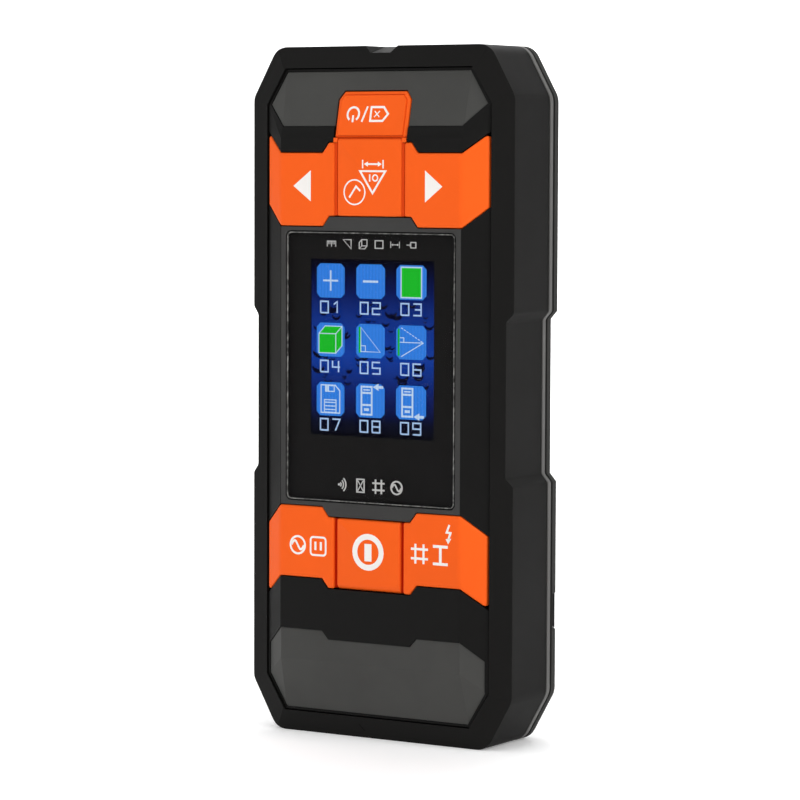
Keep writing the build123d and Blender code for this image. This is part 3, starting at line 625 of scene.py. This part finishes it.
board_green = moulded("board_green", (0.012, 0.090, 0.030), 0.35)
chip_black = moulded("chip_black", (0.018, 0.018, 0.018), 0.6)
tray_white = moulded("tray_white", (0.75, 0.75, 0.73), 0.5)
flex_amber = moulded("flex_amber", (0.42, 0.18, 0.02), 0.3)
lead_red = moulded("lead_red", (0.50, 0.02, 0.015), 0.4)
plug_white = moulded("plug_white", (0.75, 0.73, 0.66), 0.4)
former_natural = moulded("former_natural", (0.60, 0.55, 0.43), 0.5)
foam_grey = moulded("foam_grey", (0.16, 0.16, 0.16), 0.9, grain=500.0, grain_height=0.2)
pad_grey = moulded("pad_grey", (0.090, 0.090, 0.090), 0.8, grain=700.0, grain_height=0.05)
plate_grey = moulded("plate_grey", (0.14, 0.14, 0.135), 0.35, mottle=0.03)
screw_steel = metal("screw_steel", (0.25, 0.25, 0.26), 0.35)
socket_dark = metal("socket_dark", (0.10, 0.10, 0.10), 0.4)
battery_foil = metal("battery_foil", (0.60, 0.61, 0.63), 0.4, 300.0)
coil_copper = metal("coil_copper", (0.75, 0.30, 0.12), 0.35, 3000.0)
chassis_alloy = metal("chassis_alloy", (0.45, 0.46, 0.47), 0.45)
barrel_brass = metal("barrel_brass", (0.70, 0.50, 0.22), 0.3)
lens_glass = glass("lens_glass", (0.80, 0.84, 0.88), 0.05, 0.3)
laser_pane = glass("laser_pane", (0.06, 0.004, 0.006), 0.06, 0.55)

keys = ("left", "right", "measure", "clear", "detect", "metal", "power")

finished("front_housing", housing_black, 0.5)
finished("seam_band", band_grey, 0.12)
finished("rear_cover", shell_grey, 0.3)
finished("fascia", fascia_black, 0.12)
finished("upper_trim", trim_grey, 0.15)
finished("lower_trim", trim_grey, 0.15)
finished("screen_surround", trim_grey_shaded, 0.12)
finished("display_window", window_glass, 0.12)
paint(mat_orange, "upper_key_mat", "lower_key_mat")
paint(mat_orange, *[key + "_key_plunger" for key in keys])
paint(chip_black, *[key + "_switch_stem" for key in keys])
paint(chip_black, "switch_bodies", "board_chips", "buzzer", "usb_tongue")
paint(rubber_black, "window_gasket")
paint(lcd_glass, "lcd_panel")
paint(tray_white, "lcd_backlight")
paint(flex_amber, "lcd_flex")
paint(board_green, "main_board", "charge_board", "sensor_board", "receiver_board")
paint(screw_steel, "board_screws", "laser_screws", "case_screws")
paint(foam_grey, "battery_pad")
paint(battery_foil, "battery_cell")
paint(plug_white, "battery_plug")
paint(lead_red, "battery_leads")
paint(socket_dark, "usb_socket")
paint(former_natural, "coil_former")
paint(coil_copper, "detector_coil")
paint(laser_pane, "laser_window")
paint(chassis_alloy, "laser_chassis")
paint(barrel_brass, "laser_barrel")
paint(lens_glass, "laser_lens", "receiver_lens")
paint(pad_grey, "glide_pads")
paint(plate_grey, "rating_plate")


# ---------------------------------------------------------------- middle keys and grooves
soft_roll = [(0.0, 0.55), (0.08, 0.33), (0.29, 0.16), (0.62, 0.04), (1.0, 0.0)]
bevelled = [(0.0, 0.95), (0.05, 0.75), (0.14, 0.60), (0.76, 0.28), (0.82, 0.50), (0.93, 0.50), (1.0, 0.0)]
deep_roll = [(0.0, 1.15), (0.12, 0.78), (0.3, 0.46), (0.55, 0.20), (0.8, 0.05), (1.0, 0.0)]
cap_face = on_face(CAP_FRONT + CAP_SINK)
wing_face = level(CAP_FRONT + CAP_SINK)
soft_cap(
    "measure_key_cap",
    [(-8.45, 117.6), (8.45, 117.6), (8.45, 134.75), (-8.45, 134.75)],
    (0.5, 0.5, 0.5, 0.5),
    soft_roll,
    cap_face,
    [(-7.45, 7.45, 116.7, 118.8)],
)
soft_cap(
    "clear_key_cap",
    [(-9.45, 135.0), (9.45, 135.0), (9.45, 143.4), (8.1, 145.25), (-8.1, 145.25), (-9.45, 143.4)],
    (0.5, 1.0, 0.9, 0.9, 0.9, 1.0),
    bevelled,
    cap_face,
    [],
    smooth=20.0,
)
soft_cap(
    "power_key_cap",
    [(-8.45, 34.0), (8.45, 34.0), (8.45, 50.0), (-8.45, 50.0)],
    (1.7, 0.4, 0.5, 0.4),
    deep_roll,
    cap_face,
    [(-7.45, 7.45, 33.1, 35.2), (-7.45, 7.45, 48.8, 50.9)],
)


# ---------------------------------------------------------------- wing keys, each with its mirror image
def wing_pair(right_key, left_key, outline, widths, flange_heights):
    near, far = 13.5, 22.7
    flanges = [(near, far, low, high) for low, high in flange_heights]
    soft_cap(right_key + "_key_cap", outline, widths, soft_roll, wing_face, flanges, fold=True)
    outline = [(-x, z) for x, z in outline[::-1]]
    widths = widths[-2::-1] + widths[-1:]
    flanges = [(-far, -near, low, high) for low, high in flange_heights]
    soft_cap(left_key + "_key_cap", outline, widths, soft_roll, wing_face, flanges, fold=True)


upper_wing = [(9.15, 117.6), (10.8, 117.6), (12.5, 115.3), (23.7, 115.3), (28.9, 119.9)]
upper_wing += [(28.9, 135.95), (23.7, 131.6), (12.5, 131.6), (10.8, 133.9), (9.15, 133.9)]
upper_roll = [0.6, 0.6, 0.6, 0.6, 0.5, 0.6, 0.6, 0.6, 0.6, 0.5]
wing_pair("right", "left", upper_wing, upper_roll, ((114.4, 116.5), (130.4, 132.5)))
lower_wing = [(9.15, 34.0), (10.8, 34.0), (12.5, 36.1), (23.7, 36.1), (28.9, 31.9)]
lower_wing += [(28.9, 47.75), (23.7, 52.2), (12.5, 52.2), (10.8, 50.0), (9.15, 50.0)]
lower_roll = [0.9, 0.9, 0.9, 0.7, 0.5, 0.6, 0.6, 0.6, 0.6, 0.5]
wing_pair("metal", "detect", lower_wing, lower_roll, ((35.2, 37.3), (51.0, 53.1)))

# ---------------------------------------------------------------- silicone mat seen in the grooves; the lower grooves get a darker orange as painted shade
GROOVE_X = 8.8
for side, word in ((-1, "left"), (1, "right")):
    x0, x1 = sorted((side * 8.47, side * 9.45))
    corner = bar(x0, x1, 133.93, 134.97)
    layer("groove_corner_" + word, corner, "root", key_orange, level(-0.2), level(1.6))
    channel("upper_groove_" + word, side * GROOVE_X, 117.7, 133.8, -0.12, 0.12, mat_orange)
    # The lower grooves take the darker orange: painted shade in the groove.
    channel("lower_groove_" + word, side * GROOVE_X, 34.2, 49.8, 0.35, 0.95, groove_shade_orange)
crease = bar(-8.2, 8.2, 134.78, 134.97)
layer("crease_fill", crease, "clear_key", mat_orange, level(-0.06), level(1.0))

# ---------------------------------------------------------------- pictograms, in a square of half width 1
pen = 0.27
sign_cross = plus_of(0, 0, 1.05, 1.05, pen, 45)
sign_erase = stroke([(-1.25, 0), (-0.55, 0.85), (1.25, 0.85), (1.25, -0.85), (-0.55, -0.85)], pen, True)
sign_erase += placed(sign_cross, 0.35, 0, 0.5)
sign_standby = stroke(around(0, 0, 0.84, 125, 415), pen) + bar(-pen / 2, pen / 2, 0.15, 1.0)
sign_head = frame_of(-1, 0.1, -0.5, 0.5, 0.18) + bar(0.1, 0.35, -0.2, 0.2) + bar(0.45, 1, -0.07, 0.07)
sign_box = frame_of(-0.85, 0.85, -0.7, 0.7, 0.18)
sign_cube = stroke([(-0.85, -0.85), (0.3, -0.85), (0.3, 0.3), (-0.85, 0.3)], 0.16, True)
sign_cube += stroke([(-0.85, 0.3), (-0.35, 0.85), (0.85, 0.85), (0.3, 0.3)], 0.16)
sign_cube += stroke([(0.85, 0.85), (0.85, -0.3), (0.3, -0.85)], 0.16)
sign_wedge = stroke([(-0.85, -0.8), (0.9, -0.8), (-0.85, 0.9)], 0.18, True)
sign_rule = bar(-1, 1, -0.55, -0.4)
for i in range(7):
    tick = -0.94 + 0.313 * i
    sign_rule += bar(tick - 0.06, tick + 0.06, -0.4, 0.55 if i % 3 == 0 else 0.1)
wave = [(-0.75 + 1.5 * i / 16, 0.45 * math.sin(math.pi * 2 * i / 16)) for i in range(17)]
sign_source = disc_ring(0, 0, 1.0, 0.78) + stroke(wave, 0.22)
sign_socket = stroke(rounded([(-0.9, -0.9), (0.9, -0.9), (0.9, 0.9), (-0.9, 0.9)], 0.3), 0.2, True)
sign_socket += bar(-0.45, -0.2, -0.4, 0.45) + bar(0.2, 0.45, -0.4, 0.45)
sign_mesh = bar(-0.6, -0.36, -1, 1) + bar(0.36, 0.6, -1, 1)
for low, high in ((-0.6, -0.36), (0.36, 0.6)):
    sign_mesh += bar(-1, -0.6, low, high) + bar(-0.36, 0.36, low, high) + bar(0.6, 1, low, high)
sign_girder = bar(-0.85, 0.85, 0.72, 1) + bar(-0.85, 0.85, -1, -0.72) + bar(-0.15, 0.15, -0.72, 0.72)
sign_search = []
for reach in (0.35, 0.75, 1.15):
    sign_search += stroke(around(-0.6, 0, reach, -50, 50, 10), 0.18)
sign_search += [(around(-0.6, 0, 0.16, steps=12), None)]
sign_stud = frame_of(-0.6, 0.6, -0.9, 0.9, 0.18)
sign_stud += stroke([(-0.45, -0.72), (0.45, 0.72)], 0.14)
sign_stud += stroke([(-0.45, 0.72), (-0.08, 0.13)], 0.14) + stroke([(0.08, -0.13), (0.45, -0.72)], 0.14)

# ---------------------------------------------------------------- prints on the keys
ink_top, ink_low = on_face(CAP_FRONT + PRINT_FRONT), on_face(CAP_FRONT + PRINT_BACK)


def key_print(name, shapes, body):
    layer(name, shapes, body, ink_white, ink_top, ink_low)


key_print("left_key_print", filled((-20.1, 124.2), (-15.45, 120.8), (-15.45, 127.7)), "left_key")
key_print("right_key_print", filled((19.0, 124.3), (14.55, 127.8), (14.55, 120.8)), "right_key")
triangle = [(-2.77, 127.8), (0.93, 122.3), (4.7, 127.8)]
centre_x, centre_z = (sum(p[i] for p in triangle) / 3 for i in (0, 1))
shrink = 0.77
inner = [(centre_x + (x - centre_x) * shrink, centre_z + (z - centre_z) * shrink) for x, z in triangle]
measure_print = [(triangle, inner)] + disc_ring(-3.81, 122.92, 2.9, 2.58)
measure_print += stroke([(-2.3, 123.2), (-3.4, 124.2), (-5.2, 121.7)], 0.42)
measure_print += bar(0.0, 0.36, 125.3, 126.9) + disc_ring(1.6, 126.1, 0.82, 0.5)
measure_print += placed(span_sign(0.33), 1.0, 129.15, 2.85, True)
key_print("measure_key_print", measure_print, "measure_key")
clear_print = placed(sign_erase, 1.95, 140.2, 1.8, True)
clear_print += stroke([(-1.3, 141.9), (-2.5, 138.5)], 0.45)
clear_print += placed(sign_standby, -4.9, 140.2, 1.8, True)
key_print("clear_key_print", clear_print, "clear_key")
key_print("power_key_print", disc_ring(0, 42.8, 4.13, 2.83) + bar(-0.93, 0.93, 40.75, 44.66), "power_key")
detect_print = placed(sign_source, -18.8, 43.3, 2.2) + placed(sign_socket, -13.3, 43.3, 2.25)
key_print("detect_key_print", detect_print, "detect_key")
metal_print = placed(sign_mesh, 13.5, 43.3, 2.2) + placed(sign_girder, 18.9, 43.3, 2.25)
metal_print += stroke([(21.2, 50.2), (20.5, 48.5), (21.5, 48.4), (20.95, 47.0)], 0.5)
metal_print += filled((20.25, 47.0), (20.9, 45.9), (21.7, 47.2))
key_print("metal_key_print", metal_print, "metal_key")

# ---------------------------------------------------------------- window: edge, prints and mask
low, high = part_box("display_window")
wx, wz0, wz1 = high.x / MM, low.z / MM, high.z / MM


def window_loop(inward, radius):
    x = wx - inward
    return rounded([(-x, wz0 + inward), (x, wz0 + inward), (x, wz1 - inward), (-x, wz1 - inward)], radius, 6)


layer(
    "window_edge",
    [(window_loop(0.18, 1.1), window_loop(0.38, 0.9))],
    "root",
    patchy_bright_edge("window_edge"),
    level(0.09),
    level(0.4),
)
window_print = []
upper_signs = (sign_head, span_sign(0.6), sign_box, sign_cube, sign_wedge, sign_rule)
for i, sign in enumerate(upper_signs):
    window_print += placed(sign, 10.8 - 4.19 * i, 111.4, 1.2, True)
for i, sign in enumerate((sign_search, sign_stud, sign_mesh, sign_source)):
    window_print += placed(sign, -7.05 + 4.75 * i, 57.55, 1.6)
layer("window_print", window_print, "root", ink_grey, level(0.105), level(0.2))
px, pz0, pz1 = 16.2, 68.35, 107.95
margin = 0.5
mask_x, mask_z0, mask_z1 = wx - margin, wz0 + margin, wz1 - margin
mask = (
    [(-mask_x, mask_z0), (mask_x, mask_z0), (mask_x, mask_z1), (-mask_x, mask_z1)],
    [(-px, pz0), (px, pz0), (px, pz1), (-px, pz1)],
)
layer("window_mask", [mask], "root", mask_black, level(1.03), level(1.1))

# ---------------------------------------------------------------- the lit picture on the display
lcd_blue = lit("lcd_blue", (0.034, 0.228, 0.82))
lcd_white = lit("lcd_white", (0.56, 0.73, 1.0))
lcd_pale = lit("lcd_pale", (0.44, 0.64, 1.0))
lcd_green = lit("lcd_green", (0.010, 0.54, 0.020))
lcd_deep = lit("lcd_deep", (0.0006, 0.0014, 0.016))
lcd_back = lit_background("lcd_back", pz0, pz1)
wide, tall = 2 * px, pz1 - pz0


def picture(name, shapes, made_of, depth):
    layer(name, shapes, "root", made_of, level(depth), level(depth + 0.03))


def spot(across, down):
    """A place on the picture, as parts of its width and height from its top left."""
    return -px + across * wide, pz1 - down * tall


def crescent(x, z, radius):
    """The shaded lower rim of a water drop."""
    rim = around(x, z, radius, 195, 345, 10)
    inside = around(x, z + 0.5 * radius, 0.97 * radius, 210, 330, 10)[::-1]
    return (rim + inside, None)


picture("picture_back", bar(-px, px, pz0, pz1), lcd_back, 1.33)
drops = []
state = 7                 # scatters the drops, the same way in every run
for i in range(84):
    state = (state * 137 + 71) % 9973
    across = 0.03 + 0.94 * (state % 997) / 997
    state = (state * 137 + 71) % 9973
    down = 0.24 + 0.52 * (state % 991) / 991
    state = (state * 137 + 71) % 9973
    drops.append(crescent(*spot(across, down), 0.5 + 1.3 * ((state % 97) / 97) ** 2))
picture("picture_drops", drops, lcd_deep, 1.31)

columns = ((0.044, 0.272), (0.368, 0.601), (0.694, 0.934))
rows = ((0.0255, 0.219), (0.3615, 0.552), (0.698, 0.888))
tiles, centres, cut = [], [], 0.95
for top, bottom in rows:
    for start, stop in columns:
        (x0, z1), (x1, z0) = spot(start, top), spot(stop, bottom)
        tiles += filled(
            (x0 + cut, z0), (x1 - cut, z0), (x1, z0 + cut), (x1, z1 - cut),
            (x1 - cut, z1), (x0 + cut, z1), (x0, z1 - cut), (x0, z0 + cut),
        )
        centres.append(((x0 + x1) / 2, (z0 + z1) / 2))
picture("picture_tiles", tiles, lcd_blue, 1.29)

# First row: add, subtract, area.
greens, lines = [], []
(ax, az), (bx, bz), (cx, cz) = centres[:3]
lines += plus_of(ax, az, 2.0, 2.3, 0.4)
lines += bar(bx - 2.0, bx + 2.0, bz - 0.24, bz + 0.24)
greens += bar(cx - 2.6, cx + 2.6, cz - 3.3, cz + 3.3)
lines += frame_of(cx - 2.65, cx + 2.65, cz - 3.35, cz + 3.35, 0.3)
# Second row: volume, one right triangle, two right triangles.
(ax, az), (bx, bz), (cx, cz) = centres[3:6]
x0, x1, z0, z1, dx, dz = ax - 3.1, ax + 1.4, az - 3.0, az + 1.35, 1.65, 1.7
greens += filled((x0, z0), (x1, z0), (x1 + dx, z0 + dz), (x1 + dx, z1 + dz), (x0 + dx, z1 + dz), (x0, z1))
lines += frame_of(x0, x1, z0, z1, 0.2)
lines += stroke([(x0, z1), (x0 + dx, z1 + dz), (x1 + dx, z1 + dz), (x1 + dx, z0 + dz), (x1, z0)], 0.2)
lines += stroke([(x1, z1), (x1 + dx, z1 + dz)], 0.2)
greens += bar(bx - 3.1, bx - 2.6, bz - 2.7, bz + 3.1)
lines += stroke([(bx - 2.5, bz - 2.4), (bx + 2.6, bz - 2.4), (bx - 2.5, bz + 3.0)], 0.2, True)
lines += stroke([(bx - 2.5, bz - 1.1), (bx - 1.3, bz - 1.1), (bx - 1.3, bz - 2.4)], 0.2)
greens += bar(cx - 3.5, cx - 3.0, cz - 3.0, cz + 3.0)
lines += stroke([(cx - 2.9, cz), (cx + 3.2, cz)], 0.2) + stroke([(cx - 2.6, cz - 3.2), (cx + 3.2, cz)], 0.2)
dashes, filled_part = 8, 0.6
for i in range(dashes):
    a, b = i / dashes, (i + filled_part) / dashes
    lines += stroke([(cx - 2.6 + 5.8 * a, cz + 3.2 - 3.2 * a), (cx - 2.6 + 5.8 * b, cz + 3.2 - 3.2 * b)], 0.2)
lines += stroke([(cx - 2.9, cz + 1.0), (cx - 1.9, cz + 1.0), (cx - 1.9, cz)], 0.2)
# Third row: stored values, measuring from the front end, measuring from the rear end.
(ax, az), (bx, bz), (cx, cz) = centres[6:]
disk = ((-2.5, -3.1), (2.5, -3.1), (2.5, 1.9), (1.3, 3.1), (-2.5, 3.1))
lines += stroke([(ax + u, az + v) for u, v in disk], 0.28, True)
lines += frame_of(ax - 1.3, ax + 1.0, az + 1.7, az + 3.0, 0.25) + bar(ax - 1.2, ax - 0.4, az + 1.8, az + 2.9)
lines += frame_of(ax - 1.6, ax + 1.5, az - 3.0, az - 0.2, 0.25)
for i in range(3):
    lines += bar(ax - 1.4, ax + 1.3, az - 2.5 + 0.8 * i, az - 2.25 + 0.8 * i)
for x, z, side in ((bx, bz, 1), (cx, cz, -1)):
    left, right = x - 2.3, x + 0.4
    lines += frame_of(left, right, z - 3.1, z + 3.1, 0.42)
    lines += bar(left, right, z + 1.5, z + 1.95) + bar(left, right, z - 1.2, z - 0.75)
    lines += bar(left + 0.5, right - 0.5, z + 2.25, z + 2.55) + bar(left + 0.7, right - 0.7, z - 2.3, z - 1.7)
    lines += arrow(x + 3.4, z + side * 3.1, x + 0.7, z + side * 3.1, 0.6, 1.5)
picture("picture_green", greens, lcd_green, 1.27)
picture("picture_lines", lines, lcd_white, 1.25)

# The strokes of the digits 0 to 9, in a box one wide and one high.
digit_lines = (
    (((0, 0), (1, 0), (1, 1), (0, 1), (0, 0)),),
    (((0.15, 0.75), (0.6, 1), (0.6, 0)),),
    (((0, 1), (1, 1), (1, 0.5), (0, 0.5), (0, 0), (1, 0)),),
    (((0, 1), (1, 1), (1, 0), (0, 0)), ((0.2, 0.5), (1, 0.5))),
    (((0, 1), (0, 0.45), (1, 0.45)), ((0.8, 1), (0.8, 0))),
    (((1, 1), (0, 1), (0, 0.5), (1, 0.5), (1, 0), (0, 0)),),
    (((1, 1), (0, 1), (0, 0), (1, 0), (1, 0.5), (0, 0.5)),),
    (((0, 1), (1, 1), (0.4, 0)),),
    (((0, 0), (1, 0), (1, 1), (0, 1), (0, 0)), ((0, 0.5), (1, 0.5))),
    (((0, 0), (1, 0), (1, 1), (0, 1), (0, 0.5), (1, 0.5)),),
)
labels = []
digit_wide, digit_tall, digit_pen = 2.0, 2.55, 0.34
for i, (x, _) in enumerate(centres):
    down = (0.305, 0.640, 0.971)[i // 3]
    base = spot(0, down)[1]
    for digit, start in ((0, x - 2.65), (i + 1, x + 0.55)):
        for path in digit_lines[digit]:
            labels += stroke([(start + digit_wide * u, base + digit_tall * v) for u, v in path], digit_pen)
picture("picture_numbers", labels, lcd_pale, 1.25)

# ---------------------------------------------------------------- painted shade for a small notch on the bottom rim
# A near-black flat stroke stands for the shaded flank of a small notch in the bottom rim: painted shade, and
# no groove is cut.
notch_shade_black = moulded("notch_shade_black", (0.002, 0.002, 0.002), 0.6, gloss=0.02)
mark = stroke([(-4.78, 3.14), (-3.57, 1.66)], 0.16)
layer("rim_notch_shade", mark, "root", notch_shade_black, on_bottom_rim(-0.012), on_bottom_rim(0.1))

add_camera()
add_floor()
add_lights()
bpy.context.scene.view_settings.view_transform = "Standard"
